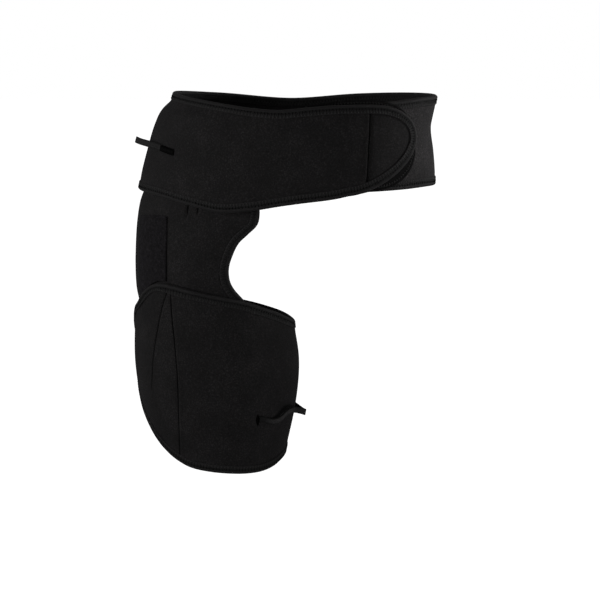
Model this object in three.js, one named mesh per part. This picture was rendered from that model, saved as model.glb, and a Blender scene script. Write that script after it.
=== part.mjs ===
// Hip brace of bound neoprene: a waist belt, a hip panel and a thigh wrap, held in the shape it is worn in.
// Millimetres, +Z up, -Y to the front, -X to the braced side. The origin is the middle of the waist.
import * as THREE from "three";

const { degToRad, lerp, smoothstep, clamp } = THREE.MathUtils;

// Cloth, tape and the small gaps that keep the pieces apart.
const clothThickness = 3;
const tabThickness = 1.4;
const patchThickness = 1.2;
const webThickness = 1.2;
const webWidth = 6.5;
const tapeThickness = 0.7;
const tapeWidth = 8.5;
const seatGap = 0.5;
const seamGap = 0.5;
const pressedShare = 0.7;

// Height of each layer's middle above the form that the brace closes round.
const innerLift = 2;
const outerLift = 7.9;
const flapLift = 9.8;
const tabLift = 5.8;
const patchLift = innerLift + clothThickness / 2 + seatGap + patchThickness / 2;
const webLift = outerLift + clothThickness / 2 + seatGap + webThickness / 2;

// The form inside the belt and hip panel, by height: how far it reaches to each side of the origin.
const hipRows = [
  { height: 66, braced: 114.5, far: 158, front: 96, back: 92 },
  { height: 50, braced: 121.3, far: 156, front: 101, back: 94 },
  { height: 40, braced: 131.4, far: 154, front: 104, back: 96 },
  { height: 28, braced: 137.3, far: 152, front: 107, back: 99 },
  { height: 0, braced: 145.9, far: 155, front: 110, back: 107 },
  { height: -22, braced: 151.7, far: 156.5, front: 111, back: 115 },
  { height: -42, braced: 155.3, far: 155.8, front: 110.5, back: 120 },
  { height: -54, braced: 159.6, far: 155.5, front: 109.5, back: 122.5 },
  { height: -75, braced: 163.2, far: 157, front: 106, back: 126 },
  { height: -120, braced: 166.5, far: 157, front: 100, back: 126 },
];

// The form inside the thigh wrap, by height: its axis and how far it reaches from that.
const thighRows = [
  { height: -100, x: -84, y: 4, outside: 82, inside: 80, front: 100, back: 104 },
  { height: -148, x: -84, y: 4, outside: 81.6, inside: 79, front: 93, back: 96 },
  { height: -171, x: -83, y: 4, outside: 78.7, inside: 78, front: 91, back: 93 },
  { height: -190, x: -82, y: 4, outside: 79.9, inside: 78, front: 89, back: 90 },
  { height: -235, x: -79, y: 4, outside: 83.2, inside: 81, front: 87, back: 87 },
  { height: -280, x: -78, y: 4, outside: 76.8, inside: 76.5, front: 82, back: 82 },
  { height: -345, x: -75, y: 4, outside: 60.5, inside: 59.5, front: 70, back: 72 },
  { height: -375, x: -74, y: 4, outside: 53, inside: 53, front: 64, back: 66 },
];
const hipSquareness = 2.3;
const thighSquareness = 2.1;
const creaseTop = -58;
const creaseBottom = -150;
const farthestReach = 150;
const reachHalvings = 40;
const probe = 0.5;

// Belt edges by turn, from its hidden end under the flap, once round the waist to the tongue.
const beltRows = [
  { turn: 10, top: 55, bottom: -32 },
  { turn: 40, top: 57, bottom: -32 },
  { turn: 57, top: 59.5, bottom: -31.8 },
  { turn: 70, top: 61.6, bottom: -32 },
  { turn: 90, top: 61, bottom: -35.5 },
  { turn: 135, top: 55.5, bottom: -41 },
  { turn: 180, top: 48, bottom: -44.5 },
  { turn: 225, top: 55, bottom: -43.5 },
  { turn: 270, top: 61.5, bottom: -41.8 },
  { turn: 296, top: 60.8, bottom: -41 },
  { turn: 311, top: 58.4, bottom: -46.8 },
  { turn: 325, top: 55.2, bottom: -52.4 },
  { turn: 339, top: 52, bottom: -50 },
  { turn: 355, top: 50, bottom: -44.6 },
  { turn: 367, top: 51.8, bottom: -41.4 },
  { turn: 384, top: 54.4, bottom: -37.2 },
  { turn: 392, top: 55, bottom: -33.6 },
  { turn: 402, top: 55.3, bottom: -29.8 },
];
const seamRows = [
  { height: -34, turn: 397.6 },
  { height: -18, turn: 398.2 },
  { height: 16, turn: 399.8 },
  { height: 57, turn: 402.8 },
];
const climbStart = 130;
const climbEnd = 200;
const flapStart = 330;
const flapEnd = 358;

// Hook tab behind the tongue.
const tabRows = [
  { turn: 2, top: 44, bottom: -36 },
  { turn: 7, top: 52, bottom: -36.5 },
  { turn: 18, top: 57.7, bottom: -37 },
  { turn: 32, top: 61.8, bottom: -35.6 },
  { turn: 42, top: 62.1, bottom: -31.3 },
];

// Rounded ends of the tongue and the tab: the tip, and where each edge starts to round and how squarely.
const tongueEnd = {
  tip: 422.2,
  middle: 21.5,
  above: { start: 402, height: 55.3, squareness: 2.4 },
  below: { start: 390, height: -34.5, squareness: 1.6 },
};
const tabEnd = {
  tip: 63.2,
  middle: 18,
  above: { start: 42, height: 62.1, squareness: 2.35 },
  below: { start: 42, height: -31.3, squareness: 2.15 },
};

// Hip panel: its groin edge and back edge, by height; top and lower edge, by share of the way round.
const groinRows = [
  { height: -30, turn: 23.9, back: -188 },
  { height: -58, turn: 25.2, back: -184 },
  { height: -67, turn: 24.5, back: -181 },
  { height: -77, turn: 20.8, back: -178 },
  { height: -86, turn: 16.9, back: -175 },
  { height: -100, turn: 13.5, back: -171 },
  { height: -112, turn: 11.6, back: -168 },
  { height: -122, turn: 11.4, back: -167 },
  { height: -132, turn: 12.7, back: -166.5 },
  { height: -140, turn: 15.4, back: -167 },
  { height: -152, turn: 21.6, back: -168 },
  { height: -168, turn: 28, back: -170 },
  { height: -200, turn: 30, back: -173 },
  { height: -290, turn: 30, back: -174 },
];
const hipHemRows = [
  { share: 0, top: -28, bottom: -278 },
  { share: 0.3, top: -26, bottom: -284 },
  { share: 0.5, top: -25, bottom: -272 },
  { share: 0.7, top: -27, bottom: -222 },
  { share: 0.86, top: -34, bottom: -198 },
  { share: 1, top: -32, bottom: -192 },
];

// Fastener patch on the side of the hip.
const patchFront = -29.2;
const patchBack = -60;
const patchRows = [
  { turn: -60, top: -66, bottom: -154.6 },
  { turn: -52, top: -64.6, bottom: -147 },
  { turn: -44, top: -62.8, bottom: -139 },
  { turn: -36, top: -62, bottom: -132.8 },
  { turn: -29.2, top: -62.2, bottom: -131.2 },
];

// Thigh wrap edges by turn, from the tip of its rounded outer end to its sewn end behind.
const wrapRows = [
  { turn: -108, top: -215, bottom: -236 },
  { turn: -105, top: -206, bottom: -246.5 },
  { turn: -99, top: -196.5, bottom: -257 },
  { turn: -91, top: -188, bottom: -266.5 },
  { turn: -83, top: -179.5, bottom: -277 },
  { turn: -70, top: -166.4, bottom: -294 },
  { turn: -60, top: -159, bottom: -307.6 },
  { turn: -52, top: -150.8, bottom: -316.2 },
  { turn: -46, top: -144.3, bottom: -321.6 },
  { turn: -38, top: -137, bottom: -328.2 },
  { turn: -31, top: -134.6, bottom: -332.8 },
  { turn: -24, top: -135.1, bottom: -336.5 },
  { turn: -8, top: -140.3, bottom: -340.5 },
  { turn: 9, top: -147, bottom: -343 },
  { turn: 21, top: -152.6, bottom: -344.3 },
  { turn: 34, top: -161.5, bottom: -344.6 },
  { turn: 50, top: -171.5, bottom: -342.5 },
  { turn: 61, top: -178.5, bottom: -339.5 },
  { turn: 90, top: -191, bottom: -336 },
  { turn: 135, top: -189, bottom: -333 },
  { turn: 180, top: -178, bottom: -331 },
  { turn: 212, top: -172, bottom: -330 },
];
const wrapTip = -108;
const wrapEnd = 212;

// Long seam and dart of the thigh wrap, by height, and how deep the dart is drawn in.
const longSeamRows = [
  { height: -345, turn: -33.9 },
  { height: -318, turn: -30.3 },
  { height: -294, turn: -27.7 },
  { height: -250, turn: -25.4 },
  { height: -206, turn: -24.7 },
  { height: -170, turn: -24.6 },
  { height: -134, turn: -23.6 },
];
const dartRows = [
  { height: -345, turn: -54, sink: 0 },
  { height: -262, turn: -50, sink: 0 },
  { height: -233, turn: -46.2, sink: 0.7 },
  { height: -200, turn: -40.8, sink: 1.3 },
  { height: -176, turn: -35.4, sink: 1.5 },
  { height: -158, turn: -31, sink: 1.4 },
  { height: -149, turn: -28.8, sink: 0.3 },
  { height: -145, turn: -28, sink: 0 },
  { height: -134, turn: -26, sink: 0 },
];
const dartHalfTurn = 1.1;

// Pull loops: where each tape is sewn down, and how far its bend stands off the cloth.
const beltLoopRows = [
  { turn: -122, height: -8.5, lift: webLift },
  { turn: -114, height: -5.5, lift: webLift },
  { turn: -108, height: -2.5, lift: 13.5 },
  { turn: -100, height: 1.5, lift: 19.5 },
  { turn: -92, height: 5.4, lift: 23.2 },
  { turn: -85, height: 7.6, lift: 23.6 },
  { turn: -78, height: 8.4, lift: 20.5 },
  { turn: -72, height: 8.6, lift: 15.5 },
  { turn: -67, height: 8, lift: 11.2 },
  { turn: -63.5, height: 6.9, lift: webLift },
  { turn: -57.5, height: 4.9, lift: webLift },
];
const thighLoopRows = [
  { turn: 30, height: -283, lift: webLift },
  { turn: 33, height: -283.4, lift: webLift },
  { turn: 37.5, height: -286, lift: 12 },
  { turn: 42, height: -286.6, lift: 14.5 },
  { turn: 46, height: -284, lift: 16.3 },
  { turn: 50, height: -279, lift: 18 },
  { turn: 56, height: -277, lift: 19.2 },
  { turn: 64, height: -280, lift: 20.2 },
  { turn: 74, height: -284.5, lift: 21 },
  { turn: 86, height: -289, lift: 21.5 },
  { turn: 98, height: -291.5, lift: 18.5 },
  { turn: 108, height: -290.5, lift: 14 },
  { turn: 115, height: -289, lift: webLift },
  { turn: 122, height: -288.5, lift: webLift },
];

const neoprene = { color: 0x1c1d1f, roughness: 0.82, metalness: 0 };
const tape = { color: 0x151618, roughness: 0.7, metalness: 0 };
const webbing = { color: 0x2b2c2e, roughness: 0.55, metalness: 0 };
const hookCloth = { color: 0x121214, roughness: 0.9, metalness: 0 };
const loopCloth = { color: 0x17161d, roughness: 1, metalness: 0 };

// Reads a table of rows smoothly: the named columns at any value of its key.
function reader(rows, key, ...columns) {
  const ordered = [...rows].sort((first, second) => first[key] - second[key]);
  const keys = ordered.map((row) => row[key]);
  const values = ordered.flatMap((row) => columns.map((column) => row[column]));
  const spline = new THREE.CubicInterpolant(keys, values, columns.length);
  return (at) => Array.from(spline.evaluate(clamp(at, keys[0], keys[keys.length - 1])));
}

const hipsAt = reader(hipRows, "height", "braced", "far", "front", "back");
const thighAt = reader(thighRows, "height", "x", "y", "outside", "inside", "front", "back");

function roundReach(sideways, forwards, side, depth, squareness) {
  const sum = Math.abs(sideways / side) ** squareness + Math.abs(forwards / depth) ** squareness;
  return sum ** (-1 / squareness);
}

// A point of the waist's form, by turn from the front about the upright axis.
function hips(turn, height) {
  const [braced, far, front, back] = hipsAt(height);
  const sideways = Math.sin(degToRad(turn));
  const forwards = Math.cos(degToRad(turn));
  const side = sideways < 0 ? braced : far;
  const depth = forwards > 0 ? front : back;
  const reach = roundReach(sideways, forwards, side, depth, hipSquareness);
  return new THREE.Vector3(reach * sideways, -reach * forwards, height);
}

// How far the waist's form lies from a point inside it, along a level direction.
function reachToHips(x, y, sideways, forwards, height) {
  const [braced, far, front, back] = hipsAt(height);
  let near = 0;
  let away = farthestReach;
  for (let halving = 0; halving < reachHalvings; halving += 1) {
    const middle = (near + away) / 2;
    const px = x + middle * sideways;
    const py = y - middle * forwards;
    const share = roundReach(px, py, px < 0 ? braced : far, py < 0 ? front : back, hipSquareness);
    if (share > 1) near = middle;
    else away = middle;
  }
  return near;
}

// A point of the thigh's form, by turn about its own axis; above the crease it joins the waist's form.
function leg(turn, height) {
  const [x, y, outside, inside, front, back] = thighAt(height);
  const sideways = Math.sin(degToRad(turn));
  const forwards = Math.cos(degToRad(turn));
  const side = sideways < 0 ? outside : inside;
  const depth = forwards > 0 ? front : back;
  const onThigh = roundReach(sideways, forwards, side, depth, thighSquareness);
  const onHips = reachToHips(x, y, sideways, forwards, height);
  const reach = lerp(onThigh, onHips, smoothstep(height, creaseBottom, creaseTop));
  return new THREE.Vector3(x + reach * sideways, y - reach * forwards, height);
}

// The form's two level and upright directions at a spot, per degree and per millimetre.
function tangents(form, turn, height) {
  const along = form(turn + probe, height).sub(form(turn - probe, height));
  const up = form(turn, height + probe).sub(form(turn, height - probe));
  return { along, up };
}

function layOn(form, turn, height, lift) {
  const { along, up } = tangents(form, turn, height);
  const outward = along.cross(up).normalize();
  return form(turn, height).addScaledVector(outward, lift);
}

function bend(geometry, place) {
  const positions = geometry.getAttribute("position");
  const point = new THREE.Vector3();
  for (let index = 0; index < positions.count; index += 1) {
    point.fromBufferAttribute(positions, index);
    positions.setXYZ(index, ...place(point));
  }
  geometry.computeVertexNormals();
  return geometry;
}

// A flat slab of cloth, one facet to each pattern cell, laid over the form and pressed thinner at its edges.
function clothPanel(form, cells, thickness) {
  const along = cells.length - 1;
  const across = cells[0].length - 1;
  const slab = new THREE.BoxGeometry(along, across, thickness, along, across, 1);
  return bend(slab, (point) => {
    const row = Math.round(point.y + across / 2);
    const cell = cells[Math.round(point.x + along / 2)][row];
    const rise = row === 0 || row === across ? point.z * pressedShare : point.z;
    return layOn(form, cell.turn, cell.height, cell.lift + rise);
  });
}

// The direction into the cloth at a spot of its edge, as turn and height to a millimetre of cloth.
function inwardStep(form, before, here, after) {
  const { along, up } = tangents(form, here.turn, here.height);
  const turnLength = along.length();
  const heightLength = up.length();
  const run = new THREE.Vector2(
    (after.turn - before.turn) * turnLength,
    (after.height - before.height) * heightLength,
  ).normalize();
  return { turn: -run.y / turnLength, height: run.x / heightLength };
}

// A tape folded over an edge; the cloth lies to the left of the way the edge runs.
function edgeTape(form, edge, thickness) {
  const inner = thickness / 2 + seatGap;
  const outer = inner + tapeThickness;
  const fold = new THREE.Shape();
  fold.moveTo(tapeWidth, -outer);
  fold.lineTo(tapeWidth, -inner);
  fold.lineTo(-seatGap, -inner);
  fold.lineTo(-seatGap, inner);
  fold.lineTo(tapeWidth, inner);
  fold.lineTo(tapeWidth, outer);
  fold.lineTo(-seatGap - tapeThickness, outer);
  fold.lineTo(-seatGap - tapeThickness, -outer);
  const last = edge.length - 1;
  const strip = new THREE.ExtrudeGeometry(fold, { depth: last, steps: last, bevelEnabled: false });
  return bend(strip, (point) => {
    const station = Math.round(point.z);
    const before = edge[Math.max(station - 1, 0)];
    const here = edge[station];
    const after = edge[Math.min(station + 1, last)];
    const step = inwardStep(form, before, here, after);
    const turn = here.turn + step.turn * point.x;
    const height = here.height + step.height * point.x;
    return layOn(form, turn, height, here.lift + point.y);
  });
}

// Even steps between two values, ends included.
function steps(from, to, count) {
  return Array.from({ length: count + 1 }, (_, index) => lerp(from, to, index / count));
}

const widestRim = 0.25;

// Rows across a panel: one a tape's width in from each edge and the rest evenly between.
function acrossPanel(bottom, top, between) {
  const rim = Math.min(tapeWidth, (top - bottom) * widestRim);
  return [bottom, ...steps(bottom + rim, top - rim, between), top];
}

// One edge of a piece with a rounded end: along its table, then round to the tip.
function endEdge(plain, end, side, turn) {
  const { start, height, squareness } = end[side];
  if (turn < start) return plain;
  const share = Math.min((turn - start) / (end.tip - start), 1);
  return lerp(end.middle, height, (1 - share ** squareness) ** (1 / squareness));
}

const tipStop = 0.94;

// Stations that crowd towards the tip of a rounded end.
function stationsToTip(from, tip, count) {
  return steps(0, tipStop, count).map((share) => lerp(from, tip, Math.sin((share * Math.PI) / 2)));
}

const beltEdges = reader(beltRows, "turn", "top", "bottom");
const seamTurnAt = reader(seamRows, "height", "turn");

function endSpan(edges, end, turn) {
  const [top, bottom] = edges(turn);
  return [endEdge(top, end, "above", turn), endEdge(bottom, end, "below", turn)];
}

function beltLift(turn) {
  const overHip = lerp(innerLift, outerLift, smoothstep(turn, climbStart, climbEnd));
  return lerp(overHip, flapLift, smoothstep(turn, flapStart, flapEnd));
}

const beltAcross = 6;
const beltStart = 10;
const beltPlainEnd = 384;
const beltAround = 56;
const beltNearSeam = [389, 394];
const tongueAround = 8;
const beltPlain = [...steps(beltStart, beltPlainEnd, beltAround), ...beltNearSeam];
const tongueStations = stationsToTip(tongueEnd.above.start, tongueEnd.tip, tongueAround).slice(1);

function beltColumn(turn, turnAt) {
  const [top, bottom] = endSpan(beltEdges, tongueEnd, turn);
  return acrossPanel(bottom, top, beltAcross).map((height) => {
    const here = turnAt(height);
    return { turn: here, height, lift: beltLift(here) };
  });
}

const seamStation = seamTurnAt(0)[0];
const seamShare = seamGap / 2 / tangents(hips, seamStation, 0).along.length();

function seamColumn(side) {
  return beltColumn(seamStation, (height) => seamTurnAt(height)[0] + side * seamShare);
}

const beltCells = [...beltPlain.map((turn) => beltColumn(turn, () => turn)), seamColumn(-1)];
const tongueCells = [seamColumn(1), ...tongueStations.map((turn) => beltColumn(turn, () => turn))];

// Belt tape: along the lower edge, round the tongue and back along the upper edge.
const beltColumns = [...beltCells, ...tongueCells.slice(1)];
const beltEdge = [
  ...beltColumns.map((column) => column[0]),
  ...beltColumns.map((column) => column[column.length - 1]).reverse(),
];

const tabEdges = reader(tabRows, "turn", "top", "bottom");
const tabStart = 2;
const tabAround = 8;
const tabTipAround = 7;
const tabAcross = 4;
const tabStations = [
  ...steps(tabStart, tabEnd.above.start, tabAround),
  ...stationsToTip(tabEnd.above.start, tabEnd.tip, tabTipAround).slice(1),
];
const tabCells = tabStations.map((turn) => {
  const [top, bottom] = endSpan(tabEdges, tabEnd, turn);
  return acrossPanel(bottom, top, tabAcross).map((height) => ({ turn, height, lift: tabLift }));
});

const groinAt = reader(groinRows, "height", "turn", "back");
const hipHemAt = reader(hipHemRows, "share", "top", "bottom");
const hipRim = 0.03;
const hipAround = 26;
const hipAcross = 11;
const hipShares = [0, ...steps(hipRim, 1 - hipRim, hipAround), 1];
const hipCells = hipShares.map((share) => {
  const [top, bottom] = hipHemAt(share);
  return acrossPanel(bottom, top, hipAcross).map((height) => {
    const [groin, back] = groinAt(height);
    return { turn: lerp(back, groin, share), height, lift: innerLift };
  });
});
const hipEdge = [
  ...hipCells[0].slice().reverse(),
  ...hipCells.slice(1, -1).map((column) => column[0]),
  ...hipCells[hipCells.length - 1],
];

const patchEdges = reader(patchRows, "turn", "top", "bottom");
const patchAround = 6;
const patchAcross = 8;
const patchCells = steps(patchBack, patchFront, patchAround).map((turn) => {
  const [top, bottom] = patchEdges(turn);
  return steps(bottom, top, patchAcross).map((height) => ({ turn, height, lift: patchLift }));
});

const wrapEdges = reader(wrapRows, "turn", "top", "bottom");
const longSeamAt = reader(longSeamRows, "height", "turn");
const dartAt = reader(dartRows, "height", "turn", "sink");
const wrapAcross = 8;
const wrapMiddle = -235;
const sideAround = 14;
const frontAround = 29;
const dartRun = 0.3;
const dartToSeam = [0.5, 0.75];
const settleRounds = 8;

// A column of the wrap whose turn may change with height, as its seam and dart do.
function wrapColumn(turnAt, sinkShare) {
  let top = wrapMiddle;
  let bottom = wrapMiddle;
  for (let round = 0; round < settleRounds; round += 1) {
    top = wrapEdges(turnAt(top))[0];
    bottom = wrapEdges(turnAt(bottom))[1];
  }
  return acrossPanel(bottom, top, wrapAcross).map((height) => {
    const lift = outerLift - sinkShare * dartAt(height)[1];
    return { turn: turnAt(height), height, lift };
  });
}

const longSeam = (height) => longSeamAt(height)[0];
const dart = (height) => dartAt(height)[0];
const longSeamShare = seamGap / 2 / tangents(leg, longSeam(wrapMiddle), wrapMiddle).along.length();
const towardsSeam = (height, share) => lerp(dart(height), longSeam(height), share);
const beforeDart = (height) => dart(height) - dartHalfTurn;
const afterDart = (height) => Math.min(dart(height) + dartHalfTurn, towardsSeam(height, dartRun));
const towardsTip = (height, share) => lerp(beforeDart(height), wrapTip, share);
const sideCells = [
  ...steps(1, 0, sideAround).map((share) => wrapColumn((height) => towardsTip(height, share), 0)),
  wrapColumn(dart, 1),
  wrapColumn(afterDart, 0),
  ...dartToSeam.map((share) => wrapColumn((height) => towardsSeam(height, share), 0)),
  wrapColumn((height) => longSeam(height) - longSeamShare, 0),
];
const frontCells = steps(0, 1, frontAround).map((share) => {
  return wrapColumn((height) => lerp(longSeam(height) + longSeamShare, wrapEnd, share), 0);
});
const wrapColumns = [...sideCells, ...frontCells.slice(1)];
const wrapEdge = [
  ...wrapColumns.map((column) => column[column.length - 1]).reverse(),
  ...wrapColumns.map((column) => column[0]),
];

const webAround = 22;

// A pull loop's tape, from one sewn end over its bend to the other.
function webCells(rows) {
  const along = reader(rows, "turn", "height", "lift");
  const turns = rows.map((row) => row.turn);
  return steps(Math.min(...turns), Math.max(...turns), webAround).map((turn) => {
    const [middle, lift] = along(turn);
    const edges = [middle - webWidth / 2, middle + webWidth / 2];
    return edges.map((height) => ({ turn, height, lift: Math.max(lift, webLift) }));
  });
}

function piece(name, geometry, finish) {
  const mesh = new THREE.Mesh(geometry, new THREE.MeshStandardMaterial(finish));
  mesh.name = name;
  return mesh;
}

function assembly(name, ...members) {
  const part = new THREE.Group();
  part.name = name;
  part.add(...members);
  return part;
}

const group = assembly(
  "hip_brace",
  assembly(
    "waist",
    piece("waist_belt", clothPanel(hips, beltCells, clothThickness), neoprene),
    piece("belt_tongue", clothPanel(hips, tongueCells, clothThickness), neoprene),
    piece("belt_hook_tab", clothPanel(hips, tabCells, tabThickness), hookCloth),
    piece("belt_binding", edgeTape(hips, beltEdge, clothThickness), tape),
    piece("belt_pull_loop", clothPanel(hips, webCells(beltLoopRows), webThickness), webbing),
  ),
  assembly(
    "hip",
    piece("hip_panel", clothPanel(leg, hipCells, clothThickness), neoprene),
    piece("hip_binding", edgeTape(leg, hipEdge, clothThickness), tape),
    piece("hip_loop_patch", clothPanel(leg, patchCells, patchThickness), loopCloth),
  ),
  assembly(
    "thigh",
    piece("thigh_front_panel", clothPanel(leg, frontCells, clothThickness), neoprene),
    piece("thigh_side_panel", clothPanel(leg, sideCells, clothThickness), neoprene),
    piece("thigh_binding", edgeTape(leg, wrapEdge, clothThickness), tape),
    piece("thigh_pull_loop", clothPanel(leg, webCells(thighLoopRows), webThickness), webbing),
  ),
);

export default group;
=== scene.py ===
import math

import bmesh
import bpy
import numpy as np
from mathutils import Matrix, Vector, noise


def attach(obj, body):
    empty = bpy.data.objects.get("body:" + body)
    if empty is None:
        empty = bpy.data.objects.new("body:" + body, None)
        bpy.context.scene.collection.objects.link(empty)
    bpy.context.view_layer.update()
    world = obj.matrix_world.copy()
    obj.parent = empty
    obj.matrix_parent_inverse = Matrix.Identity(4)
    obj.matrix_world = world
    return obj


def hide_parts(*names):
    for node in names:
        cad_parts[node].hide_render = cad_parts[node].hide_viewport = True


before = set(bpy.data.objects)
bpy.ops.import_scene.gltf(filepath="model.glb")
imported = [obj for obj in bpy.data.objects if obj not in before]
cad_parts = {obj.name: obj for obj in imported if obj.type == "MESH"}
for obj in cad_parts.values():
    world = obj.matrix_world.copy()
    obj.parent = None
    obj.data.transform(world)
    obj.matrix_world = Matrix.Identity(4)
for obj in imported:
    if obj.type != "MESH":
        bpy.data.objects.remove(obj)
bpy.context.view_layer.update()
print("frame loaded,", len(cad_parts), "nodes")

mm = 0.001  # the tables are in millimetres and degrees, the scene in metres

# Forms of the hips and the thigh, on which every piece is laid
forms = {
    # height, then the reach to the braced side, far side, front and back
    "hipRows": [
        (66, 114.5, 158, 96, 92), (50, 121.3, 156, 101, 94), (40, 131.4, 154, 104, 96),
        (28, 137.3, 152, 107, 99), (0, 145.9, 155, 110, 107), (-22, 151.7, 156.5, 111, 115),
        (-42, 155.3, 155.8, 110.5, 120), (-54, 159.6, 155.5, 109.5, 122.5),
        (-75, 163.2, 157, 106, 126), (-120, 166.5, 157, 100, 126),
    ],
    # height, axis x and y, then the reach outside, inside, to the front and back
    "thighRows": [
        (-100, -84, 4, 82, 80, 100, 104), (-148, -84, 4, 81.6, 79, 93, 96),
        (-171, -83, 4, 78.7, 78, 91, 93), (-190, -82, 4, 79.9, 78, 89, 90),
        (-235, -79, 4, 83.2, 81, 87, 87), (-280, -78, 4, 76.8, 76.5, 82, 82),
        (-345, -75, 4, 60.5, 59.5, 70, 72), (-375, -74, 4, 53, 53, 64, 66),
    ],
    "hipSquareness": 2.3, "thighSquareness": 2.1,
    "crease": (-150, -58),  # heights between which the thigh runs into the hips
    "farthestReach": 150, "halvings": 34, "probe": 0.5,
}
# lift of each layer's middle above the forms
layers = {"inner": 2, "outer": 7.9, "flap": 9.8, "tab": 5.8, "patch": 4.6, "web": 10.5}


# Reads a table at any value of its first column, on a smooth curve through its rows.
def tableReader(rows):
    table = np.array(sorted(rows), float)
    keys, values = table[:, 0], table[:, 1:]
    last = len(keys) - 1

    def read(at):
        at = np.clip(np.atleast_1d(at).astype(float), keys[0], keys[-1])
        after = np.clip(np.searchsorted(keys, at, side="right"), 1, last)
        before = after - 1
        earlier = np.where(before > 0, before - 1, after)
        later = np.where(after < last, after + 1, before)
        span = keys[after] - keys[before]
        share = (at - keys[before]) / span
        pullBack = 0.5 * span / (keys[before] - keys[earlier])
        pullOn = 0.5 * span / (keys[later] - keys[after])
        square, cube = share ** 2, share ** 3
        weighted = (
            (earlier, pullBack * (2 * square - cube - share)),
            (before, (1 + pullBack) * cube - (1.5 + 2 * pullBack) * square + (pullBack - 0.5) * share + 1),
            (after, (1.5 + pullOn) * square - (1 + pullOn) * cube + 0.5 * share),
            (later, pullOn * (cube - square)),
        )
        return sum(values[row].T * weight for row, weight in weighted)

    return read


readHips = tableReader(forms["hipRows"])
readThigh = tableReader(forms["thighRows"])


def blendOver(at, start, end):
    share = np.clip((at - start) / (end - start), 0, 1)
    return share * share * (3 - 2 * share)


def mix(start, end, share):
    return start + (end - start) * share


# A swell that is 1 in its middle and fades out to both sides.
def bell(away, width):
    return np.exp(-(away / width) ** 2)


def roundReach(sideways, forwards, side, depth, squareness):
    share = np.abs(sideways / side) ** squareness + np.abs(forwards / depth) ** squareness
    return share ** (-1 / squareness)


def waistForm(turn, height):
    braced, far, front, back = readHips(height)
    sideways, forwards = np.sin(np.radians(turn)), np.cos(np.radians(turn))
    side, depth = np.where(sideways < 0, braced, far), np.where(forwards > 0, front, back)
    reach = roundReach(sideways, forwards, side, depth, forms["hipSquareness"])
    return np.stack([reach * sideways, -reach * forwards, height + 0 * reach], axis=1)


def reachToWaist(x, y, sideways, forwards, height):
    braced, far, front, back = readHips(height)
    near, away = 0 * x, 0 * x + forms["farthestReach"]
    for halving in range(forms["halvings"]):
        middle = (near + away) / 2
        px, py = x + middle * sideways, y - middle * forwards
        side, depth = np.where(px < 0, braced, far), np.where(py < 0, front, back)
        inside = roundReach(px, py, side, depth, forms["hipSquareness"]) > 1
        near, away = np.where(inside, middle, near), np.where(inside, away, middle)
    return near


# Below the crease this is the thigh, above it the thigh runs into the waist.
def thighForm(turn, height):
    x, y, outside, inside, front, back = readThigh(height)
    sideways, forwards = np.sin(np.radians(turn)), np.cos(np.radians(turn))
    side, depth = np.where(sideways < 0, outside, inside), np.where(forwards > 0, front, back)
    onThigh = roundReach(sideways, forwards, side, depth, forms["thighSquareness"])
    onWaist = reachToWaist(x, y, sideways, forwards, height)
    reach = mix(onThigh, onWaist, blendOver(height, *forms["crease"]))
    return np.stack([x + reach * sideways, y - reach * forwards, height + 0 * reach], axis=1)


def surfaceRun(form, turn, height):
    probe = forms["probe"]
    along = form(turn + probe, height) - form(turn - probe, height)
    up = form(turn, height + probe) - form(turn, height - probe)
    return along, up


def outwardAt(form, turn, height):
    outward = np.cross(*surfaceRun(form, turn, height))
    return outward / np.linalg.norm(outward, axis=1)[:, None]


def layOn(form, turn, height, lift):
    outward = outwardAt(form, turn, height)
    return (form(turn, height) + outward * (lift + 0 * turn)[:, None]) * mm


def finishPiece(piece, material, node=None):
    for polygon in piece.data.polygons:
        polygon.use_smooth = True
    piece.data.materials.append(material)
    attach(piece, "root")
    if node:
        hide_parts(node)


def addModifier(piece, kind, **settings):
    modifier = piece.modifiers.new(kind.title(), kind)
    for name, value in settings.items():
        setattr(modifier, name, value)


def newObject(name, bm):
    mesh = bpy.data.meshes.new(name)
    bm.to_mesh(mesh)
    bm.free()
    piece = bpy.data.objects.new(name, mesh)
    bpy.context.scene.collection.objects.link(piece)
    return piece


# A grid of cloth shaped by a place function, with the weave's own run kept as a UV map.
def layCloth(name, form, cells, place, thickness):
    bm = bmesh.new()
    bmesh.ops.create_grid(bm, x_segments=cells[0], y_segments=cells[1], size=0.5)
    flat = np.array([vert.co for vert in bm.verts])
    turn, height, lift, weave = place(flat[:, 0] + 0.5, flat[:, 1] + 0.5)
    for vert, point in zip(bm.verts, layOn(form, turn, height, lift)):
        vert.co = point
    bm.verts.index_update()
    weaveMap = bm.loops.layers.uv.new("weave")
    for face in bm.faces:
        for loop in face.loops:
            loop[weaveMap].uv = weave[loop.vert.index]
    piece = newObject(name, bm)
    addModifier(piece, "SOLIDIFY", thickness=thickness * mm, offset=0, use_even_offset=False)
    return piece


# Materials


def newMaterial(name, settings):
    material = bpy.data.materials.new(name)
    material.use_nodes = True
    shader = material.node_tree.nodes["Principled BSDF"]
    for socket, value in settings.items():
        shader.inputs[socket].default_value = value
    return material, material.node_tree, shader


def wire(tree, source, target):
    if hasattr(source, "is_output"):
        tree.links.new(source, target)
    else:
        target.default_value = source


def sums(tree, operation, first, second=0.0):
    node = tree.nodes.new("ShaderNodeMath")
    node.operation = operation
    wire(tree, first, node.inputs[0])
    wire(tree, second, node.inputs[1])
    return node.outputs[0]


def added(tree, base, extra, share):
    return sums(tree, "ADD", base, sums(tree, "MULTIPLY", extra, share))


def wave(tree, run, length):
    return sums(tree, "SINE", sums(tree, "MULTIPLY", run, 2 * math.pi / length))


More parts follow.
